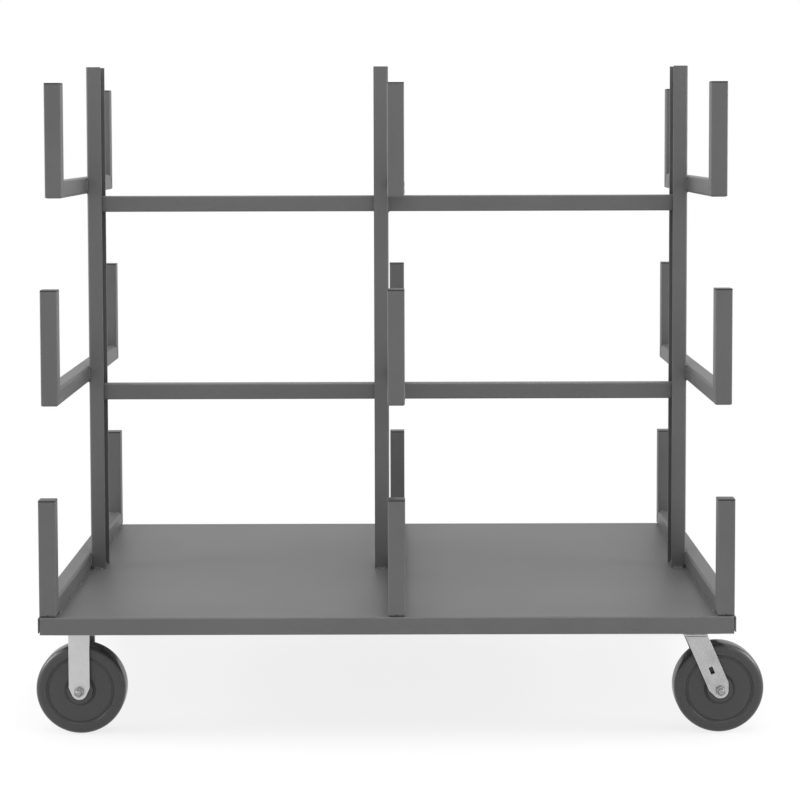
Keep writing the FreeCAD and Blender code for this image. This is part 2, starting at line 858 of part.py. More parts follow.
def swivel_casters():
    pins, pin_nuts, all_balls = [], [], []
    wheel_x = swivel_x + s.swivel_lead
    nut_z = crown_under - s.nut_gap - s.kingpin_nut
    for name, side in SIDES.items():
        y = side * caster_out
        name_node(place(swivel_plate(), x=swivel_x, y=y, z=plate_under), f"swivel_plate_{name}")
        pins.append(place(kingpin(), x=swivel_x, y=y, z=caster_height))
        lock = nut(s.kingpin, s.kingpin_across, s.kingpin_nut)
        pin_nuts.append(place(lock, x=swivel_x, y=y, z=nut_z))
        all_balls += balls(swivel_x, y)
        name_node(place(swivel_fork(), x=wheel_x, y=y), f"swivel_fork_{name}")
        name_node(place(wheel(), x=wheel_x, y=y, z=axle_z), f"swivel_wheel_{name}")
        group(f"swivel_rollers_{name}", rollers(wheel_x, y))
        pieces = axle_set(wheel_x, y, side)
        for piece, kind in zip(pieces, ("sleeve", "bolt", "nut")):
            name_node(piece, f"swivel_axle_{kind}_{name}")
    group("kingpins", pins)
    group("kingpin_nuts", pin_nuts)
    group("swivel_balls", all_balls)


def mount_fasteners():
    """Bolts up through the plates and bolsters, with their nuts inside the channels."""
    bolts, nuts = [], []
    length = s.bolster_gauge + s.plate_gauge + s.mount_nut + s.thread_end
    for x in (rigid_x, swivel_x):
        for side in SIDES.values():
            for x_out, y_out in hole_offsets():
                spot_x, spot_y = x + x_out, side * caster_out + y_out
                shank = bolt(s.mount_bolt, s.mount_across, s.mount_head, length)
                bolts.append(place(shank, x=spot_x, y=spot_y, z=plate_under))
                lock = nut(s.mount_bolt, s.mount_across, s.mount_nut)
                nuts.append(place(lock, x=spot_x, y=spot_y, z=caster_height + s.bolster_gauge))
    group("mount_bolts", bolts)
    group("mount_nuts", nuts)


# Assembly

deck_tray()
bolster("bolster_left", -caster_reach, drilled=True)
bolster("bolster_centre", 0, drilled=False)
bolster("bolster_right", caster_reach, drilled=True)
rack()
rigid_casters()
swivel_casters()
mount_fasteners()
doc.recompute()

# Checks, then the files

for item in doc.Objects:
    faults = [word for word in item.State if word in ("Invalid", "Error")]
    if faults:
        raise RuntimeError(f"{item.Name} ({item.Label}) is {faults}")
for node in nodes:
    if node.Shape.isNull() or not node.Shape.isValid() or not node.Shape.Solids:
        raise RuntimeError(f"{node.Label} has no valid solid")

os.makedirs("parts", exist_ok=True)
for node in nodes:
    node.Shape.exportStep(os.path.join("parts", node.Label + ".step"))

whole = Part.makeCompound([node.Shape for node in nodes])
box = whole.BoundBox
print(f"{len(nodes)} nodes, {len(whole.Solids)} solids")
print(f"box {box.XMin:.1f} {box.YMin:.1f} {box.ZMin:.1f} to {box.XMax:.1f} {box.YMax:.1f} {box.ZMax:.1f}")
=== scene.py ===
# %% [markdown]
# A pipe cart is a flat steel deck on four casters. Three welded racks stand on it and
# carry pipe at three heights. Its solids come from CAD, so the first step is to load them.
# They could be modelled again by eye, but then nothing added later would fit exactly.

# %% Load the cart
import json
import math

import bmesh
import bpy
from mathutils import Matrix, Vector

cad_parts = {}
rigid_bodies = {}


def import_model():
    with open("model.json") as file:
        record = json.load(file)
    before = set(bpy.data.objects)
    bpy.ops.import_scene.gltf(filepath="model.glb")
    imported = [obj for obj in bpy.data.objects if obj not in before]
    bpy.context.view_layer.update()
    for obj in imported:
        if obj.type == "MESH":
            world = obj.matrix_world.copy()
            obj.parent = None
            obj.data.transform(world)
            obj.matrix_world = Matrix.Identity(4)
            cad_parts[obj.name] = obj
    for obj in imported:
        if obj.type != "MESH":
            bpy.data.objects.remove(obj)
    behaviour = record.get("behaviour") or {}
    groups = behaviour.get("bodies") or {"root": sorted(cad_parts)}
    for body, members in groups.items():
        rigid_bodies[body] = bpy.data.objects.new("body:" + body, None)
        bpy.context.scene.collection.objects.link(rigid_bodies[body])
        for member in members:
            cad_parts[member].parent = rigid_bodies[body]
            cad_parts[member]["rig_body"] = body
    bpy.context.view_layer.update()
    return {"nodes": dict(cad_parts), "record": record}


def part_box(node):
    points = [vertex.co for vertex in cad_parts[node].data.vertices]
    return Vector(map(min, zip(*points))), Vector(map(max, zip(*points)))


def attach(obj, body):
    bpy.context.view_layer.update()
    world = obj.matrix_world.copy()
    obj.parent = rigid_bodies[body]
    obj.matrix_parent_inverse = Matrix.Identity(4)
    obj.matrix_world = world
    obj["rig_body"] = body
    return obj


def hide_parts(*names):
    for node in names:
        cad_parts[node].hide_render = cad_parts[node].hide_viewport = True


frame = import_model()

nodes = frame["nodes"]

# %% [markdown]
# The photograph was taken from the front, well above the deck, with upright lines that
# stay nearly upright. A camera tilted down at the cart would make them lean together.
# A real photographer slides the lens down instead, and Blender's lens shift does that:
# the camera looks almost level and the shift brings the cart into the frame. Its place,
# lens and small turns were fitted to the straight edges of the uprights and the deck.

# %% Camera
MM = 0.001
PHOTO_SIDE = 800
FOCAL_PIXELS = 1447.6
OPTICAL_ROW = 191.67
SENSOR = 36.0
CAMERA_PLACE = Vector((6.2, -3511.8, 1332.3)) * MM
PAN, TILT, ROLL = 0.0009, 0.0391, -0.0027
FAR_CLIP = 100

scene = bpy.context.scene
lens = bpy.data.cameras.new("camera")
lens.sensor_width = SENSOR
lens.lens = SENSOR * FOCAL_PIXELS / PHOTO_SIDE
lens.shift_y = (OPTICAL_ROW - PHOTO_SIDE / 2) / PHOTO_SIDE
lens.clip_end = FAR_CLIP
camera = bpy.data.objects.new("camera", lens)
heading = (Matrix.Rotation(PAN, 4, "Z") @ Matrix.Rotation(math.pi / 2 - TILT, 4, "X")
           @ Matrix.Rotation(ROLL, 4, "Z"))
camera.matrix_world = Matrix.Translation(CAMERA_PLACE) @ heading
scene.collection.objects.link(camera)
scene.camera = camera
scene.view_settings.view_transform = "Standard"
print("lens", round(lens.lens, 2), "mm, shift", round(lens.shift_y, 4))

# %% [markdown]
# A finish in Blender is a tree of nodes. Wiring it by hand takes a line for every link,
# so one small class wraps an output socket and lets Python do the sums: two values added
# make a Math node, two vectors a Vector Math node. Everything else comes from its one
# node method: the kind of node, its settings, then what goes into its sockets. A Mix node
# has many sockets of the same name, so its colours are found by number.

# %% Sums with sockets
MIX_FIRST, MIX_SECOND, MIX_RESULT = 6, 7, 2


class Wire:
    """The output socket of a node, ready for sums; without a socket, just a node tree."""

    def __init__(self, tree, socket=None):
        self.tree, self.socket = tree, socket

    def node(self, kind, settings=None, sockets=None, out=0):
        """Adds a node: its settings first, then a value or a link for each socket."""
        made = self.tree.nodes.new(kind)
        for name, value in (settings or {}).items():
            setattr(made, name, value)
        for name, value in (sockets or {}).items():
            if isinstance(value, Wire):
                self.tree.links.new(value.socket, made.inputs[name])
            else:
                made.inputs[name].default_value = value
        return Wire(self.tree, made.outputs[out] if made.outputs else None)

    def sum(self, operation, first, second):
        """A Math node, or a Vector Math node where either side is a vector."""
        vector = any(isinstance(side, Wire) and side.socket.type == "VECTOR"
                     for side in (first, second))
        kind = "ShaderNodeVectorMath" if vector else "ShaderNodeMath"
        return self.node(kind, {"operation": operation}, {0: first, 1: second})

    def __add__(self, other):
        return self.sum("ADD", self, other)

    def __radd__(self, other):
        return self.sum("ADD", other, self)

    def __sub__(self, other):
        return self.sum("SUBTRACT", self, other)

    def __rsub__(self, other):
        return self.sum("SUBTRACT", other, self)

    def __mul__(self, other):
        return self.sum("MULTIPLY", self, other)

    def __rmul__(self, other):
        return self.sum("MULTIPLY", other, self)

    def between(self, low, high):
        """How far the value is from low to high, from 0 to 1, eased at both ends."""
        sockets = {"Value": self, "From Min": low, "From Max": high}
        return self.node("ShaderNodeMapRange", {"interpolation_type": "SMOOTHSTEP"}, sockets)

    def mix(self, first, second):
        """A colour from first to second as the value goes from 0 to 1."""
        sockets = {0: self, MIX_FIRST: first, MIX_SECOND: second}
        return self.node("ShaderNodeMix", {"data_type": "RGBA"}, sockets, out=MIX_RESULT)


print("wires can be added, subtracted, multiplied and mixed")

# %% [markdown]
# The studio is white all round, and so is what the photograph shows behind the cart.
# A white room lights dark paint evenly, but as bright as white it would also wash it out.
# Light Path tells the rays apart: the camera and mirror-like reflections see full white,
# while the light that falls on the paint comes from a softer grey room.

# %% White room
ROOM_LIGHT = 0.595


def grey(level):
    return (level, level, level, 1)


def blank(tree):
    """A wire to start from, in a tree with no nodes."""
    tree.nodes.clear()
    return Wire(tree)


def seen(start):
    """1 for rays of the camera, of reflections and through clear matter, and 0 for the rest."""
    rays = [start.node("ShaderNodeLightPath", out=f"Is {kind} Ray")
            for kind in ("Camera", "Glossy", "Transmission")]
    return rays[0] + rays[1] + rays[2]


WHITE = grey(1)
room = bpy.data.worlds.new("white_room")
room.use_nodes = True
scene.world = room
start = blank(room.node_tree)
lit = start.node("ShaderNodeBackground", None, {"Color": WHITE, "Strength": ROOM_LIGHT})
shown = start.node("ShaderNodeBackground", None, {"Color": WHITE, "Strength": 1})
either = start.node("ShaderNodeMixShader", None, {0: seen(start), 1: lit, 2: shown})
start.node("ShaderNodeOutputWorld", None, {"Surface": either})
print("room light", ROOM_LIGHT)

# %% [markdown]
# The floor is pale and keeps the soft shadow of the deck. A plain white floor would have
# a grey edge where the lamps no longer reach, so it glows white towards its rim, and only
# near the cart does part of its look come from the light that falls on it.

# %% Floor
FLOOR_RADIUS, FLOOR_SIDES = 9.0, 96
FLOOR_TONE = 0.88
SHADE_SHARE = 0.2
SHADE_NEAR, SHADE_FAR = 0.55, 1.05
SHADE_SHAPE = (0.6, 1.0, 1.0)

disc = bmesh.new()
bmesh.ops.create_circle(disc, cap_ends=True, segments=FLOOR_SIDES, radius=FLOOR_RADIUS)
floor_mesh = bpy.data.meshes.new("floor")
disc.to_mesh(floor_mesh)
disc.free()
floor = bpy.data.objects.new("floor", floor_mesh)
scene.collection.objects.link(floor)
pale = bpy.data.materials.new("pale_floor")
pale.use_nodes = True
start = blank(pale.node_tree)
spot = start.node("ShaderNodeTexCoord", out="Object") * SHADE_SHAPE
reach = start.node("ShaderNodeVectorMath", {"operation": "LENGTH"}, {0: spot}, out="Value")
glow = seen(start) * (1 - SHADE_SHARE * (1 - reach.between(SHADE_NEAR, SHADE_FAR)))
matt = start.node("ShaderNodeBsdfDiffuse", None, {"Color": grey(FLOOR_TONE)})
white = start.node("ShaderNodeEmission", None, {"Color": WHITE, "Strength": 1})
either = start.node("ShaderNodeMixShader", None, {0: glow, 1: matt, 2: white})
start.node("ShaderNodeOutputMaterial", None, {"Surface": either})
floor_mesh.materials.append(pale)
print("floor", 2 * FLOOR_RADIUS, "m across")

# %% [markdown]
# Four large soft lamps do the rest. The one overhead makes the deck and the tops of the
# arms the palest faces, as on the real cart, and the one behind the camera lifts the fronts.
# One on each side draws the streaks on the outer shoulders of the wheels, while the deck
# keeps it off their inner sides. Small lamps would draw hard shadows of every stake.

# %% Lamps


def soft_lamp(name, place, aim, size, watts):
    """A rectangle of light at a place, turned to its aim."""
    light = bpy.data.lights.new(name, "AREA")
    light.shape = "RECTANGLE"
    light.size, light.size_y = size
    light.energy = watts
    lamp = bpy.data.objects.new(name, light)
    lamp.location = place
    lamp.rotation_euler = (Vector(aim) - Vector(place)).to_track_quat("-Z", "Y").to_euler()
    scene.collection.objects.link(lamp)
    print(name, watts, "W")


soft_lamp("overhead", place=(0, -0.3, 4.6), aim=(0, 0, 0.5), size=(4.5, 3.5), watts=148)
soft_lamp("front", place=(0.3, -6.5, 2.6), aim=(0, 0, 0.7), size=(5.0, 3.0), watts=29)
for name, x in (("left", -4.8), ("right", 4.8)):
    soft_lamp(name, place=(x, -0.3, 1.9), aim=(0, 0, 0.6), size=(1.8, 2.2), watts=145)

# %% [markdown]
# Every finish on the cart starts as a material with an empty tree and ends in the same
# shader. They could be built one by one in the shader editor, but then nobody could read
# how they were made. Two helpers open and close a finish, and what is between them is its
# own. The shader's sockets are named in small letters, with an underscore for a space.

# %% Start and end of a finish
finishes = {}


def new_finish(slot, name):
    """A material for the slot, with an empty tree to start from."""
    material = bpy.data.materials.new(name)
    material.use_nodes = True
    finishes[slot] = material
    return blank(material.node_tree)


def dress(start, **sockets):
    """Ends a finish with its shader and the output."""
    named = {key.replace("_", " ").title(): value for key, value in sockets.items()}
    surface = start.node("ShaderNodeBsdfPrincipled", None, named)
    start.node("ShaderNodeOutputMaterial", None, {"Surface": surface})


print("finishes open with a blank tree")

# %% [markdown]
# No real surface is one even tone, and what breaks it up has a size: clouds, flecks, lines.
# A picture stretched over each piece would show it larger on a deck than on a nut. Noise
# read at the point's own place in metres has the same size on every piece, and squeezing
# one axis of that place draws the lumps out into lines.

# %% Grain
GRAIN_ROUGHNESS = 0.55


def grain(start, per_metre, detail=2, stretch=(1, 1, 1)):
    """Noise with so many lumps to the metre, drawn out along an axis where stretch is below 1."""
    place = start.node("ShaderNodeTexCoord", out="Object") * stretch
    sockets = {"Vector": place, "Scale": per_metre, "Detail": detail,
               "Roughness": GRAIN_ROUGHNESS}
    return start.node("ShaderNodeTexNoise", None, sockets, out="Fac")


print("grain is counted in lumps to the metre")

# %% [markdown]
# Real edges are never quite sharp, and a thin line of light runs along them. Rounding every
# edge of the solids would add many faces, so a Bevel node rounds only the normal that the
# light sees. The grain of a surface goes on top of it as a bump with a real depth, a few
# hundredths of a millimetre.

# %% Relief
BEVEL_SAMPLES = 4


def softened(start, radius):
    """The normal of a surface whose edges are rounded by a small radius."""
    return start.node("ShaderNodeBevel", {"samples": BEVEL_SAMPLES}, {"Radius": radius})


def relief(start, height, depth, edge):
    """The normal of a surface with softened edges and bumps of a real depth."""
    sockets = {"Strength": 1, "Distance": depth, "Height": height,
               "Normal": softened(start, edge)}
    return start.node("ShaderNodeBump", None, sockets)


print("edges are softened from", BEVEL_SAMPLES, "samples")

# %% [markdown]
# The frame is powder coated: dry paint baked on until it flows into a tough satin skin.
# Up close it is never quite even. It has a fine orange peel, a faint cloudiness from one
# panel to the next, and patches a little glossier than others. A flat grey would look like
# card, so the tone, the gloss and the normal each get their own grain.

# %% Powder coat
PAINT_DARK, PAINT_PALE = grey(0.088), grey(0.103)

start = new_finish("paint", "grey_powder_coat")
cloud = grain(start, per_metre=4, detail=3)
fleck = grain(start, per_metre=1300, detail=1)
peel = grain(start, per_metre=420)
tone = (0.65 * cloud + 0.35 * fleck).between(0.3, 0.7)
dress(start, base_color=tone.mix(PAINT_DARK, PAINT_PALE),
      roughness=0.42 + 0.08 * cloud + 0.05 * fleck,
      normal=relief(start, peel, depth=0.06 * MM, edge=1.2 * MM))
print("powder coat of", len(start.tree.nodes), "nodes")

# %% [markdown]
# Dark push-in caps close the tops of the stakes. They are moulded in plastic with a fine
# spark-eroded grain. The paint's finish in black would be too rough and too even for them:
# they are a little glossier, so their tops catch the light of the room while their lips
# stay nearly black.

# %% Cap plastic
CAP_DARK, CAP_PALE = grey(0.010), grey(0.020)

start = new_finish("cap", "dark_cap_plastic")
speck = grain(start, per_metre=1800)
cloud = grain(start, per_metre=30)
dress(start, base_color=(0.5 * speck + 0.5 * cloud).mix(CAP_DARK, CAP_PALE),
      roughness=0.30 + 0.12 * speck,
      normal=relief(start, speck, depth=0.06 * MM, edge=0.7 * MM))
print("cap plastic of", len(start.tree.nodes), "nodes")

# %% [markdown]
# A thin line of light runs along the edges of a plated part, and here it is painted into the
# colour
# as a lighter grey: a painted highlight. A mask painted by hand would have to be painted again
# for every piece. The softened normal gives one for nothing: on a flat it agrees with the true
# normal, and near an edge it leans away from it.

# %% Painted edge highlights
EDGE_HIGHLIGHT_LEAN = 0.2


def dot(first, second):
    """How far two directions agree, from -1 to 1."""
    return first.node("ShaderNodeVectorMath", {"operation": "DOT_PRODUCT"},
                      {0: first, 1: second}, out="Value")


def painted_edge_highlight(start, radius):
    """1 along the edges of a piece, where the highlight is painted, and 0 on its flats."""
    flat = start.node("ShaderNodeNewGeometry", out="Normal")
    return (1 - dot(softened(start, radius), flat)).between(0, EDGE_HIGHLIGHT_LEAN)


print("edges are fully highlighted at a lean of", EDGE_HIGHLIGHT_LEAN)

# %% [markdown]
# The caster forks are pressed from strip and zinc plated. Plating is bright but not a
# mirror: the strip's rolling lines and a mottled bloom show through, and a lighter grey along
# its edges is a painted highlight. The swivel forks come from a duller, blotchier batch, so the
# finish goes from one batch to the other along the cart instead of being made twice.

# %% Bright zinc
FRESH_DARK, FRESH_PALE = grey(0.48), grey(0.58)
DULL_DARK, DULL_PALE = grey(0.37), grey(0.50)
# the grey of the painted highlight along the edges
EDGE_HIGHLIGHT_GREY = grey(0.70)
BATCH_MIDDLE = 0.3

start = new_finish("zinc", "bright_zinc")
bloom = grain(start, per_metre=420, detail=5, stretch=(1, 1, 0.7))
cloud = grain(start, per_metre=28, detail=3)
rolled = grain(start, per_metre=1500, stretch=(1, 1, 0.08))
tone = (0.45 * bloom + 0.35 * cloud + 0.2 * rolled).between(0.25, 0.75)
spots = (0.6 * grain(start, per_metre=330, detail=6) + 0.4 * cloud).between(0.38, 0.62)
fresh, dull = tone.mix(FRESH_DARK, FRESH_PALE), spots.mix(DULL_DARK, DULL_PALE)
place = start.node("ShaderNodeTexCoord", out="Object")
along = start.node("ShaderNodeSeparateXYZ", None, {0: place}, out="X")
plate = along.between(-BATCH_MIDDLE, BATCH_MIDDLE).mix(fresh, dull)
# the edges are painted a lighter grey: a painted highlight
dress(start, base_color=painted_edge_highlight(start, 2.5 * MM).mix(plate, EDGE_HIGHLIGHT_GREY), metallic=1.0,
      roughness=0.32 + 0.18 * bloom,
      normal=relief(start, bloom, depth=0.03 * MM, edge=1.2 * MM))
print("bright zinc of", len(start.tree.nodes), "nodes")

# %% [markdown]
# Nuts and bolts are plated too, but turned and forged rather than rolled, so their zinc is
# a shade darker, with a tighter speckle and no direction. The forks' finish could serve for
# them, but its rolling lines would run straight across a round head.

# %% Bolt zinc
BOLT_DARK, BOLT_PALE = grey(0.22), grey(0.40)

start = new_finish("hardware", "bolt_zinc")
speck = grain(start, per_metre=900, detail=4)
cloud = grain(start, per_metre=120)
tone = (0.6 * speck + 0.4 * cloud).between(0.3, 0.7)
dress(start, base_color=tone.mix(BOLT_DARK, BOLT_PALE), metallic=1.0,
      roughness=0.28 + 0.2 * speck,
      normal=relief(start, speck, depth=0.04 * MM, edge=0.3 * MM))
print("bolt zinc of", len(start.tree.nodes), "nodes")

# %% [markdown]
# Balls, rollers and axle sleeves are ground steel under a film of grease: dark where the
# grease has gathered, and glossy everywhere. Little of them shows, so two grains are enough:
# one for the film and one for the marks of the grinding.

# %% Bearing steel
STEEL_CLEAN, STEEL_GREASED = grey(0.42), grey(0.24)

start = new_finish("bearing", "greased_steel")
film = grain(start, per_metre=70, detail=3)
ground = grain(start, per_metre=2200)
dress(start, base_color=film.between(0.35, 0.7).mix(STEEL_CLEAN, STEEL_GREASED), metallic=1.0,
      roughness=0.18 + 0.2 * film + 0.06 * ground,
      normal=relief(start, ground, depth=0.02 * MM, edge=0.2 * MM))
print("bearing steel of", len(start.tree.nodes), "nodes")

# %% [markdown]
# The wheels are moulded from cloth and resin. Chopped cloth leaves paler flecks just under
# a hard skin, and the skin itself is a smooth satin. The flecks are small and faint: from
# across the room the wheel reads as plain dark grey. Rolling has polished the tread. It
# could be a finish of its own, but the tread is simply every part of the wheel that doesn't
# face along its axle, and the normal knows that.

# %% Moulded wheel
RESIN_DARK, RESIN_PALE = grey(0.028), grey(0.044)
AXLE_WAY = (0, 1, 0)

start = new_finish("wheel", "moulded_resin_cloth")
cloth = grain(start, per_metre=230, detail=4)
speck = grain(start, per_metre=1200)
tone = (0.6 * cloth + 0.4 * speck).between(0.3, 0.72)
across = dot(start.node("ShaderNodeTexCoord", out="Normal"), AXLE_WAY)
tread = 1 - (across * across).between(0.1, 0.8)
dress(start, base_color=tone.mix(RESIN_DARK, RESIN_PALE),
      roughness=0.44 + 0.12 * cloth - 0.28 * tread,
      normal=relief(start, speck, depth=0.03 * MM, edge=0.6 * MM))
print("moulded wheel of", len(start.tree.nodes), "nodes")

# %% [markdown]
# The record that came with the solids says which finish each of them has. A list typed here
# could do the same, but it would have to be kept in step with the record. So every node's
# material slot is filled from the record, and no solid is left in its plain CAD grey.

# %% Finish the solids
for part in frame["record"]["subparts"]:
    solid = nodes[part["node"]]
    solid.data.materials.clear()
    solid.data.materials.append(finishes[part["material_slot"]])

# %% [markdown]
# The pieces below are all made in the same way: closed rings of points, skinned one to the
# next, like the ribs of a boat. A ring can be round, a hexagon or a rounded oblong, so one
# helper makes nuts, wheels, caps and weld beads, and each of them is a closed mesh. Shapes
# bent from ready-made cubes and tubes would each need their own tricks.

# %% Rings and skins


def skin(mesh, rings, place=None, hollow=False):
    """Joins rings of points in order; the ends are filled, or joined too where it is hollow."""
    if place is not None:
        rings = [[place @ Vector(point) for point in ring] for ring in rings]
    loops = [[mesh.verts.new(point) for point in ring] for ring in rings]
    pairs = list(zip(loops, loops[1:]))
    if hollow:
        pairs.append((loops[-1], loops[0]))
    else:
        mesh.faces.new(loops[0][::-1])
        mesh.faces.new(loops[-1])
    for low, high in pairs:
        for index in range(len(low)):
            after = (index + 1) % len(low)
            mesh.faces.new((low[index], low[after], high[after], high[index]))


print("rings become skins")

# %% [markdown]
# A mesh joins the cart when it has a finish and a body to ride on, so that it moves with a
# caster when the caster turns. Some pieces stand for a plain solid of the CAD model, which
# is then left out. Shading is smooth except at real edges, and an angle tells them apart,
# which is quicker than marking edges by hand.

# %% Pieces of the cart
CREASE = math.radians(35)


def add_piece(name, mesh, slot, body, replaced=()):
    """Makes an object of the mesh, finishes it and lets it ride on its body."""
    bmesh.ops.recalc_face_normals(mesh, faces=mesh.faces)
    data = bpy.data.meshes.new(name)
    mesh.to_mesh(data)
    mesh.free()
    data.shade_smooth()
    data.set_sharp_from_angle(angle=CREASE)
    data.materials.append(finishes[slot])
    piece = bpy.data.objects.new(name, data)
    scene.collection.objects.link(piece)
    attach(piece, body)
    if replaced:
        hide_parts(*replaced)
    print(name, "has", len(data.polygons), "faces")


print("skins become pieces")

# %% [markdown]
# A weld is a row of small pools of metal, each frozen over the edge of the last. A plain
# tube in the corner would do from far away, but the ripple is what makes it read as a weld.
# So each bead is a skin of rings whose size rises and falls with the ripple, swells and
# wanders a little, and closes round at its ends. Its place shifts the swell and the
# wandering, so that beads side by side differ.

# %% Weld beads
RIPPLE, RIPPLE_RISE = 3.4 * MM, 0.10
SWELL_EVERY, SWELL_RISE, SWELL_SHIFT = 11 * RIPPLE, 0.08, 40
DRIFT_EVERY, DRIFT_SHARE, DRIFT_SHIFT = 7 * RIPPLE, 0.12, 90
SMALLEST_END = 0.3
BEAD_SIDES = 8
RINGS_PER_RIPPLE, FEWEST_RINGS = 4, 6


def bead(mesh, first, last, radius):
    """A rippled bead along the line between two points."""
    first, last = Vector(first), Vector(last)
    run = last - first
    length = run.length
    along = run.normalized()
    side = along.orthogonal().normalized()
    other = along.cross(side)
    turns = [math.tau * step / BEAD_SIDES for step in range(BEAD_SIDES)]
    count = max(FEWEST_RINGS, round(RINGS_PER_RIPPLE * length / RIPPLE))
    rings = []
    for index in range(count + 1):
        done = length * index / count
        end = max(0, min(1, done / radius, (length - done) / radius))
        close = max(SMALLEST_END, math.sqrt(1 - (1 - end) ** 2))
        wave = 1 + RIPPLE_RISE * math.cos(math.tau * done / RIPPLE)
        swell = 1 + SWELL_RISE * math.sin(math.tau * done / SWELL_EVERY + SWELL_SHIFT * first.y)
        size = radius * close * wave * swell
        sway = math.sin(math.tau * done / DRIFT_EVERY + DRIFT_SHIFT * first.z)
        middle = first + along * done + side * (DRIFT_SHARE * radius * sway)
        rings.append([middle + size * (side * math.cos(turn) + other * math.sin(turn))
                      for turn in turns])
    skin(mesh, rings)


print("beads ripple every", RIPPLE / MM, "mm")

# %% [markdown]
# Each arm lies against the flat back of its upright. The welder runs a bead down both
# edges of the upright and one along the top of the arm, and under it where a torch fits.
# The beads could be placed by eye, but the boxes of the two solids say where the corners are.

# %% Arms to uprights
STATIONS = ("left", "centre", "right")
LEVELS = ("low", "mid", "top")
ARM_BEAD = 3.4 * MM
CORNER_IN = 2.2 * MM
EDGE_STOP = 5 * MM

welds = bmesh.new()
for station in STATIONS:
    post_low, post_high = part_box(f"upright_{station}")
    seam = post_low.x if station == "left" else post_high.x
    front, back = post_low.y + EDGE_STOP, post_high.y - EDGE_STOP
    for level in LEVELS:
        arm_low, arm_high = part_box(f"arm_{level}_{station}")
        bottom, top = arm_low.z + EDGE_STOP, arm_high.z - EDGE_STOP
        for y in (post_low.y + CORNER_IN, post_high.y - CORNER_IN):
            bead(welds, (seam, y, bottom), (seam, y, top), ARM_BEAD)
        heights = [arm_high.z - CORNER_IN]
        if level != "low":
            heights.append(arm_low.z + CORNER_IN)
        for z in heights:
            bead(welds, (seam, front, z), (seam, back, z), ARM_BEAD)
add_piece("arm_welds", welds, "paint", "cart")

# %% [markdown]
# The rails are welded round their ends. On the right of the middle upright they butt
# against its flat back, in plain view. In the other three places the end is inside the
# channel, where only the top and bottom of the tube can be reached. A bead all round every
# end would be simpler to write, but no welder could have laid it.

# %% Rails to uprights
RAIL_BEAD = 2.8 * MM

welds = bmesh.new()
for height in ("lower", "upper"):
    for bay in ("left", "right"):
        low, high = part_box(f"rail_{height}_{bay}")
        front, back = low.y + CORNER_IN, high.y - CORNER_IN
        for x in (low.x, high.x):
            for z in (low.z, high.z):
                bead(welds, (x, front, z), (x, back, z), RAIL_BEAD)
        if bay == "right":
            bottom, top = low.z + CORNER_IN, high.z - CORNER_IN
            for y in (low.y, high.y):
                bead(welds, (low.x, y, bottom), (low.x, y, top), RAIL_BEAD)
add_piece("rail_welds", welds, "paint", "cart")

# %% [markdown]
# At its foot each upright is welded to the deck along its two flanges, outside and in.
# These beads carry the whole rack, so they are the heaviest on the cart. The box of the
# upright gives the outer lines, and the gauge of the channel leads from them to the inner.

# %% Uprights to deck
FOOT_BEAD = 3.6 * MM
FLANGE = 3.04 * MM

welds = bmesh.new()
for station in STATIONS:
    low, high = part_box(f"upright_{station}")
    left, right = low.x + EDGE_STOP, high.x - EDGE_STOP
    for y in (low.y, high.y, low.y + FLANGE, high.y - FLANGE):
        bead(welds, (left, y, low.z), (right, y, low.z), FOOT_BEAD)
add_piece("foot_welds", welds, "paint", "cart")

# %% [markdown]
# The lowest arms lie flat on the deck. A weld along their whole length would warp the
# sheet, so they are only stitched: short beads with long gaps, on the side where the
# welder can see them. Between the stitches paint has run into the corner and closed it with
# a low fillet, and without that the rounded tube would stand on a hard black line.

# %% Stitches on the deck
TUBE_THIN = 25.4 * MM
STITCH_BEAD = 2.6 * MM
STITCH_HALF = 9 * MM
STITCHES = (-0.345, -0.245, -0.145, -0.055, 0.055, 0.145, 0.245, 0.345)
PAINT_FILLET = 1.7 * MM
FILLET_IN = 2.0 * MM

welds = bmesh.new()
for station in STATIONS:
    low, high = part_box(f"arm_low_{station}")
    x = low.x if station == "right" else high.x
    for y in STITCHES:
        bead(welds, (x, y - STITCH_HALF, low.z), (x, y + STITCH_HALF, low.z), STITCH_BEAD)
    front, back = low.y + TUBE_THIN, high.y - TUBE_THIN
    for inner in (low.x + FILLET_IN, high.x - FILLET_IN):
        bead(welds, (inner, front, low.z), (inner, back, low.z), PAINT_FILLET)
add_piece("deck_stitches", welds, "paint", "cart")

# %% [markdown]
# Stake and arm are cut on a slant and meet in a mitre, like a picture frame. The seam is
# welded and dressed almost flush, so only a low ridge shows on each side, with a fuller
# bead in the inner corner. A bump in the paint would vanish edge-on; a sunk bead doesn't.

# %% Mitre seams
SEAM_BEAD = 1.7 * MM
SEAM_SINK = 1.0 * MM
INNER_BEAD = 2.4 * MM
ROUND_IN = 5.5 * MM
SEAM_FOOT, SEAM_HEEL = 2 * ROUND_IN, ROUND_IN / 2

welds = bmesh.new()
for station in STATIONS:
    for level in LEVELS:
        low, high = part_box(f"arm_{level}_{station}")
        stake_low, stake_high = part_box(f"stakes_{level}_{station}")
        for outer, inward in ((stake_low.y, 1), (stake_high.y, -1)):
            inner = outer + inward * TUBE_THIN
            slant = Vector((0, inner - outer, high.z - low.z)).normalized()
            for x in (low.x + SEAM_SINK, high.x - SEAM_SINK):
                foot, heel = Vector((x, outer, low.z)), Vector((x, inner, high.z))
                bead(welds, foot + slant * SEAM_FOOT, heel - slant * SEAM_HEEL, SEAM_BEAD)
            left, right = low.x + ROUND_IN, high.x - ROUND_IN
            bead(welds, (left, inner, high.z), (right, inner, high.z), INNER_BEAD)
add_piece("mitre_seams", welds, "paint", "cart")

# %% [markdown]
# Tubes are drawn with rounded corners, and what fits on or in them follows that outline. A
# cube with a Bevel modifier could do it, but then the rounding would be the same at every
# height. A ring of points can have its own size and its own corners at each level.

# %% Rounded oblongs
CORNER_STEPS = 5


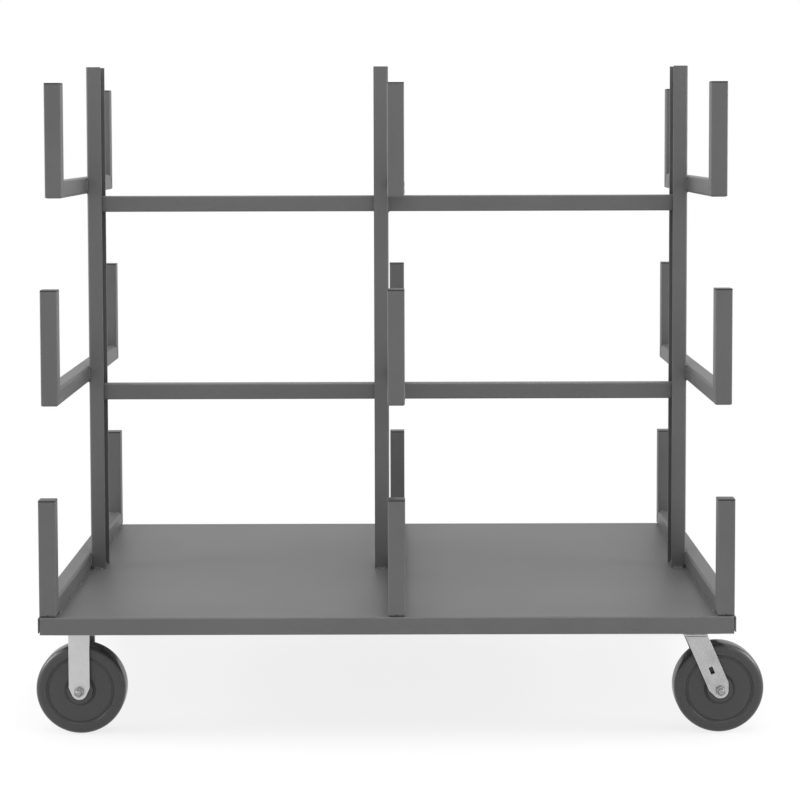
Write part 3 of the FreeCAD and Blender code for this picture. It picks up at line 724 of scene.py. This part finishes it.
def oblong(middle, half_x, half_y, corner, z):
    """A rounded oblong of points at one height."""
    points = []
    for x, y, quarter in ((1, 1, 0), (-1, 1, 1), (-1, -1, 2), (1, -1, 3)):
        for step in range(CORNER_STEPS + 1):
            turn = (quarter + step / CORNER_STEPS) * math.pi / 2
            points.append((middle[0] + x * (half_x - corner) + corner * math.cos(turn),
                           middle[1] + y * (half_y - corner) + corner * math.sin(turn), z))
    return points


print("oblongs have", 4 * (CORNER_STEPS + 1), "points")

# %% [markdown]
# A push-in cap has a lip the size of the tube, soft edges, a slightly domed top and a plug
# that grips inside. It could be two boxes with a Bevel modifier. A skin of rounded oblongs,
# from the bottom of the plug up to the middle of the dome, makes it as one closed piece and
# lets the top swell.

# %% Cap shape
TUBE_CORNER = 3.2 * MM
PLUG_IN, PLUG_DEEP = 2.3 * MM, 12 * MM
LIP, CAP_SOFT, CAP_DOME = 3.8 * MM, 0.8 * MM, 0.35 * MM
SOFT_STEPS = 5
DOME_SHARES = (0.75, 0.4, 0.1)


def cap(mesh, middle, half_x, half_y, seat):
    """The plug below the seat, then the lip with its soft edge, then the dome."""
    plug_x, plug_y, foot = half_x - PLUG_IN, half_y - PLUG_IN, seat - PLUG_DEEP
    plug_corner = TUBE_CORNER - PLUG_IN / 2
    rings = [oblong(middle, plug_x - CAP_SOFT, plug_y - CAP_SOFT, plug_corner / 2, foot)]
    for z in (foot + CAP_SOFT, seat):
        rings.append(oblong(middle, plug_x, plug_y, plug_corner, z))
    rings.append(oblong(middle, half_x, half_y, TUBE_CORNER, seat))
    edge = seat + LIP - CAP_DOME - CAP_SOFT
    for step in range(SOFT_STEPS + 1):
        turn = step / SOFT_STEPS * math.pi / 2
        back = CAP_SOFT * (1 - math.cos(turn))
        rings.append(oblong(middle, half_x - back, half_y - back, TUBE_CORNER - back / 2,
                            edge + CAP_SOFT * math.sin(turn)))
    for share in DOME_SHARES:
        rise = CAP_DOME * (1 - share ** 2)
        rings.append(oblong(middle, half_x * share, half_y * share, TUBE_CORNER * share / 2,
                            edge + CAP_SOFT + rise))
    skin(mesh, rings)


print("caps stand", LIP / MM, "mm above their tubes")

# %% [markdown]
# Each of the eighteen stakes has a cap, and together they stand for the plain caps of the
# CAD model. One cap could be copied to every stake, but like this each takes its size from
# the tube that it closes.

# %% Stake caps
caps = bmesh.new()
for station in STATIONS:
    for level in LEVELS:
        low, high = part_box(f"stakes_{level}_{station}")
        x, half_x, half_y = (low.x + high.x) / 2, (high.x - low.x) / 2, TUBE_THIN / 2
        for y in (low.y + half_y, high.y - half_y):
            cap(caps, (x, y), half_x, half_y, high.z)
add_piece("moulded_stake_caps", caps, "cap", "cart", ["stake_caps"])

# %% [markdown]
# Neither a mould nor a lathe leaves a sharp corner, and a sharp one in a render gives a thin
# bright line. A Bevel modifier could round the finished wheel, edge by edge. It is simpler
# to round the line that the wheel is turned from, with a short curve for each corner and a
# quarter circle for the shoulder beside the tread.

# %% Eased lines
EASE_STEPS, SHOULDER_STEPS = 3, 8
EASE_SHARE = 0.45


def eased(line, radius):
    """Rounds each corner of an open line of points."""
    line = [Vector(point) for point in line]
    points = [line[0]]
    for before, corner, after in zip(line, line[1:], line[2:]):
        back = min(radius, EASE_SHARE * (before - corner).length)
        ahead = min(radius, EASE_SHARE * (after - corner).length)
        entry = corner + (before - corner).normalized() * back
        leave = corner + (after - corner).normalized() * ahead
        for step in range(EASE_STEPS + 1):
            share = step / EASE_STEPS
            points.append(entry * (1 - share) ** 2 + corner * 2 * share * (1 - share)
                          + leave * share ** 2)
    return points + [line[-1]]


def shoulder(face, tread, radius):
    """A quarter circle from the face of the rim to the tread."""
    turns = [step / SHOULDER_STEPS * math.pi / 2 for step in range(SHOULDER_STEPS + 1)]
    return [Vector((face - radius + radius * math.cos(turn),
                    tread - radius + radius * math.sin(turn))) for turn in turns]


print("corners are eased in", EASE_STEPS, "steps")

# %% [markdown]
# Cut a wheel in half and its section has a raised hub with a groove round it, a shallow
# web, the narrow ring groove of the mould and a tread with well rounded shoulders. It could
# be drawn as a curve by hand. A short list of points in millimetres, each across from the
# middle of the wheel and out from its axle, is easier to measure and to change.

# %% Wheel section
HUB_FACE, WEB_FACE, RIM_FACE = 26.6, 22.8, 24.0
GROOVE_FACE = WEB_FACE - 2.2
BORE, BORE_DEEP = 17.45, 6
HUB_GROOVE, RING_GROOVE = (28.5, 30.0, 31.6, 35.2), (69.0, 71.4, 73.8, 76.2)
TREAD, SHOULDER, EASE = 100.0, 14.0, 1.2

face = [(HUB_FACE - BORE_DEEP, BORE), (HUB_FACE, BORE)]
face += zip((HUB_FACE, GROOVE_FACE, GROOVE_FACE, WEB_FACE), HUB_GROOVE)
face += zip((WEB_FACE, GROOVE_FACE, GROOVE_FACE, RIM_FACE), RING_GROOVE)
curve = shoulder(RIM_FACE, TREAD, SHOULDER)
half = [point * MM for point in eased(face + curve[:1], EASE) + curve[1:]]
section = half + [Vector((-across, out)) for across, out in reversed(half)]
print("wheel section of", len(section), "points")

# %% [markdown]
# A wheel is turned like a bowl: its section goes once round the axle. Blender's Screw
# modifier would do that too. Here every point of the section becomes a ring, and the hollow
# skin that the rings get joins the two ends of the section inside the bore.

# %% Wheels
WHEEL_SIDES = 144
SIDES = {"front": -1, "back": 1}


def turned(section, middle):
    """Each point of the section as a ring round an axle along Y."""
    turns = [math.tau * step / WHEEL_SIDES for step in range(WHEEL_SIDES)]
    return [[(middle.x + out * math.cos(turn), middle.y + across, middle.z + out * math.sin(turn))
             for turn in turns] for across, out in section]


def body_of(node):
    """The moving body that a node belongs to."""
    return nodes[node]["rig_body"]


for side in SIDES:
    for kind in ("rigid", "swivel"):
        node = f"{kind}_wheel_{side}"
        low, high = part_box(node)
        mesh = bmesh.new()
        skin(mesh, turned(section, (low + high) / 2), hollow=True)
        add_piece(f"turned_{node}", mesh, "wheel", body_of(node), [node])

# %% [markdown]
# Hexagon nuts and bolt heads are cut from bar and then turned, which leaves curved
# chamfers where the round cut meets the flats. Cutting a hexagon with a cone would give that
# curve as well, but leaves a rough mesh. With rings it is easy: each point of the hexagon
# sinks by as much as it stands outside the turned circle.

# %% Hexagon rings
HEX_POINTS = 48
CHAMFER = math.tan(math.radians(30))
TURNED = 0.475
HEX_TURNS = [math.tau * step / HEX_POINTS for step in range(HEX_POINTS)]


def round_ring(radius, z):
    """A circle of points at one height."""
    return [(radius * math.cos(turn), radius * math.sin(turn), z) for turn in HEX_TURNS]


def hex_ring(flat, z, lean):
    """A hexagon whose corners sink from height z, upwards or downwards by the sign of lean."""
    points = []
    for turn in HEX_TURNS:
        swing = (turn + math.pi / 6) % (math.pi / 3) - math.pi / 6
        radius = flat / 2 / math.cos(swing)
        sink = (radius - TURNED * flat) * CHAMFER
        points.append((radius * math.cos(turn), radius * math.sin(turn), z + lean * sink))
    return points


print("nuts have", HEX_POINTS, "points round")

# %% [markdown]
# A lock nut is a hexagon with a round collar on top, which holds the insert that grips the
# thread. Both could be made apart and joined. One hollow skin goes round both of them
# instead, from the bore over the hexagon and the collar and back down the bore, so nothing
# has to be joined.

# %% Lock nuts
BORE_ROOM = 0.1 * MM
HEX_SHARE, COLLAR_SHARE = 0.74, 0.42
COLLAR_STEP = 0.1 * MM
COLLAR_ROUND = ((0, 0.9 * MM), (0.15, 0.35 * MM), (0.5, 0))
SINK_SHARE, SINK_DEEP = 0.4, 0.6 * MM


def lock_nut(mesh, place, size, flat, height):
    """A nut that stands on its seat along Z; the top of its collar is rounded over its wall."""
    bore = size / 2 + BORE_ROOM
    hexagon, collar = HEX_SHARE * height, COLLAR_SHARE * flat
    wall = collar - bore
    rings = [round_ring(bore, 0), round_ring(TURNED * flat, 0), hex_ring(flat, 0, 1),
             hex_ring(flat, hexagon, -1), round_ring(TURNED * flat, hexagon),
             round_ring(collar, hexagon + COLLAR_STEP)]
    rings += [round_ring(collar - share * wall, height - down) for share, down in COLLAR_ROUND]
    rings += [round_ring(bore + SINK_SHARE * wall, height),
              round_ring(bore, height - SINK_DEEP)]
    skin(mesh, rings, place, hollow=True)


print("lock nuts are", HEX_SHARE, "hexagon and", round(1 - HEX_SHARE, 2), "collar")

# %% [markdown]
# A bolt has a hexagon head with a shallow dimple, a plain shank and a thread at its end.
# A true thread is a spiral, which is heavy and hard to close. Rings that step in and out at
# the same pitch look alike on a bolt this small, and they stay one closed skin.

# %% Bolts
THREAD, THREAD_DEEP = 1.75 * MM, 0.55 * MM
THREAD_FORM = ((0, 0), (0.3, 0), (0.6, 1), (0.7, 1))
LAST_TURN = 0.5
DIMPLE_SHARE, DIMPLE_DEEP = 0.30, 0.25 * MM
SEAT_SHARE, SEAT_HIGH = 0.47, 0.3 * MM
POINT = 0.9 * MM


def bolt(mesh, place, size, flat, head, length, threaded):
    """A bolt along Z from under its head, with thread rings over its last part."""
    radius = size / 2
    rings = [round_ring(DIMPLE_SHARE * flat, -head + DIMPLE_DEEP),
             round_ring(TURNED * flat, -head), hex_ring(flat, -head, 1),
             hex_ring(flat, -SEAT_HIGH, 0), round_ring(SEAT_SHARE * flat, 0),
             round_ring(radius, 0)]
    turns = int(threaded / THREAD)
    first = length - THREAD * (turns + LAST_TURN)
    for turn in range(turns):
        for along, depth in THREAD_FORM:
            rings.append(round_ring(radius - depth * THREAD_DEEP,
                                    first + THREAD * turn + along * THREAD))
    rings += [round_ring(radius, length - LAST_TURN * THREAD), round_ring(radius - POINT, length)]
    skin(mesh, rings, place)


print("threads step every", THREAD / MM, "mm")

# %% [markdown]
# Each axle is a long bolt through both legs of the fork, with its lock nut on the outer
# side of the cart. The front and back casters mirror each other, so a bolt points to the
# front on one side of the cart and to the back on the other. Both are made along Z and laid
# over by a matrix, which saves a second way of making them.

# %% Axle bolts
AXLE_SIZE, AXLE_FLAT, AXLE_HEAD, AXLE_NUT = 12.7 * MM, 19.05 * MM, 8 * MM, 9 * MM
AXLE_THREAD = 26 * MM
PAST_NUT = 2.5 * MM


def laid(spot, way):
    """Lays a piece made along Z at a spot, pointing the way given along Y."""
    return Matrix.Translation(spot) @ Matrix.Rotation(-way * math.pi / 2, 4, "X")


def axle_fasteners(fork, way, bolts, nuts):
    """The bolt and nut of one fork, at the middle of the wheel between its legs."""
    low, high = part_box(fork)
    wheel_low, wheel_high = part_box(fork.replace("fork", "wheel"))
    middle = (wheel_low + wheel_high) / 2
    legs = (high.y - low.y) / 2
    out = Vector((0, way * legs, 0))
    bolt(bolts, laid(middle - out, way), AXLE_SIZE, AXLE_FLAT, AXLE_HEAD,
         2 * legs + AXLE_NUT + PAST_NUT, AXLE_THREAD)
    lock_nut(nuts, laid(middle + out, way), AXLE_SIZE, AXLE_FLAT, AXLE_NUT)


bolts, nuts = bmesh.new(), bmesh.new()
for side, way in SIDES.items():
    axle_fasteners(f"rigid_fork_{side}", way, bolts, nuts)
add_piece("threaded_rigid_axle_bolts", bolts, "hardware", "cart", ["rigid_axle_bolts"])
add_piece("lock_nuts_rigid_axles", nuts, "hardware", "cart", ["rigid_axle_nuts"])
for side, way in SIDES.items():
    bolts, nuts = bmesh.new(), bmesh.new()
    axle_fasteners(f"swivel_fork_{side}", way, bolts, nuts)
    node = f"swivel_axle_bolt_{side}"
    add_piece(f"threaded_{node}", bolts, "hardware", body_of(node), [node])
    node = f"swivel_axle_nut_{side}"
    add_piece(f"lock_nut_swivel_axle_{side}", nuts, "hardware", body_of(node), [node])

# %% [markdown]
# Four bolts go up through each caster plate into the deck's cross channel, where their lock
# nuts sit out of sight. Only the heads show from below. The same two helpers make them, and
# this time nothing has to be laid over. The two rigid plates share one node, so how far out
# they are comes from the swivel plates, which stand in line with them.

# %% Plate bolts
MOUNT_SIZE, MOUNT_FLAT, MOUNT_HEAD, MOUNT_NUT = 9.5 * MM, 14.3 * MM, 5 * MM, 8.3 * MM
MOUNT_THREAD = 14 * MM
HOLE_ALONG, HOLE_ACROSS = 46.05 * MM, 28.6 * MM
CHANNEL_GAUGE = 2.66 * MM

bolts, nuts = bmesh.new(), bmesh.new()
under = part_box("rigid_plates")[0].z
for side in SIDES:
    swivel_low, swivel_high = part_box(f"swivel_plate_{side}")
    y = (swivel_low.y + swivel_high.y) / 2
    for node in ("rigid_plates", f"swivel_plate_{side}"):
        low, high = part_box(node)
        x = (low.x + high.x) / 2
        grip = Vector((0, 0, high.z - under + CHANNEL_GAUGE))
        length = grip.z + MOUNT_NUT + PAST_NUT
        for x_hole in (x - HOLE_ALONG, x + HOLE_ALONG):
            for y_hole in (y - HOLE_ACROSS, y + HOLE_ACROSS):
                seat = Vector((x_hole, y_hole, under))
                bolt(bolts, Matrix.Translation(seat), MOUNT_SIZE, MOUNT_FLAT, MOUNT_HEAD,
                     length, MOUNT_THREAD)
                lock_nut(nuts, Matrix.Translation(seat + grip), MOUNT_SIZE, MOUNT_FLAT, MOUNT_NUT)
add_piece("threaded_mount_bolts", bolts, "hardware", "cart", ["mount_bolts"])
add_piece("lock_nuts_mounts", nuts, "hardware", "cart", ["mount_nuts"])

# %% [markdown]
# The kingpin that each swivel fork turns on is drawn up by a large lock nut under the
# crown of the fork, the last fastener on the cart. It is one more lock nut, turned upside
# down so that its collar hangs towards the wheel.

# %% Kingpin nuts
PIN_SIZE, PIN_FLAT, PIN_NUT = 15.88 * MM, 23.8 * MM, 9.5 * MM

nuts = bmesh.new()
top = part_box("kingpin_nuts")[1].z
for side in SIDES:
    low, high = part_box(f"swivel_plate_{side}")
    spot = Vector(((low.x + high.x) / 2, (low.y + high.y) / 2, top))
    hung = Matrix.Translation(spot) @ Matrix.Rotation(math.pi, 4, "X")
    lock_nut(nuts, hung, PIN_SIZE, PIN_FLAT, PIN_NUT)
add_piece("lock_nuts_kingpins", nuts, "hardware", body_of("kingpin_nuts"), ["kingpin_nuts"])

# %% [markdown]
# Round the crown of each swivel fork runs a turned-down rim, and a weld under it ties the
# rim to the legs. From the front both show just below the deck. The rim is a hollow skin of
# rounded oblongs, low enough to pass under the plate's bolt heads when the fork turns, and
# the weld is one more rippled bead. They could be solids in CAD, but such thin trim changes
# nothing in how the fork turns.

# %% Crown rims
CROWN_X, CROWN_Y, CROWN_CORNER = 28 * MM, 35 * MM, 10 * MM
CROWN_WALL, CROWN_SOFT = 4.0 * MM, 0.7 * MM
CROWN_DROP, CROWN_HIGH = 4.4 * MM, 3.6 * MM
CROWN_BEAD, BEAD_GAP = 2.0 * MM, 3.4 * MM
LEG_LEFT, LEG_RIGHT = -21 * MM, 26 * MM


def crown_rim(mesh, middle, under, top):
    """A ring of metal: down inside, out along the bottom, up outside and back over the top."""
    profile = ((CROWN_WALL, top), (CROWN_WALL, under), (CROWN_SOFT, under),
               (0, under + CROWN_SOFT), (0, top - CROWN_SOFT), (CROWN_SOFT, top))
    skin(mesh, [oblong(middle, CROWN_X - back, CROWN_Y - back, CROWN_CORNER - back, z)
                for back, z in profile], hollow=True)


for side in SIDES:
    low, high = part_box(f"swivel_plate_{side}")
    fork_low, fork_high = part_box(f"swivel_fork_{side}")
    middle = (low + high) / 2
    top = fork_high.z - CROWN_DROP
    crown = bmesh.new()
    crown_rim(crown, middle, top - CROWN_HIGH, top)
    left, right, z = middle.x + LEG_LEFT, middle.x + LEG_RIGHT, top - CROWN_HIGH - BEAD_GAP
    for y in (fork_low.y, fork_high.y):
        bead(crown, (left, y, z), (right, y, z), CROWN_BEAD)
    add_piece(f"crown_rim_{side}", crown, "zinc", body_of(f"swivel_fork_{side}"))
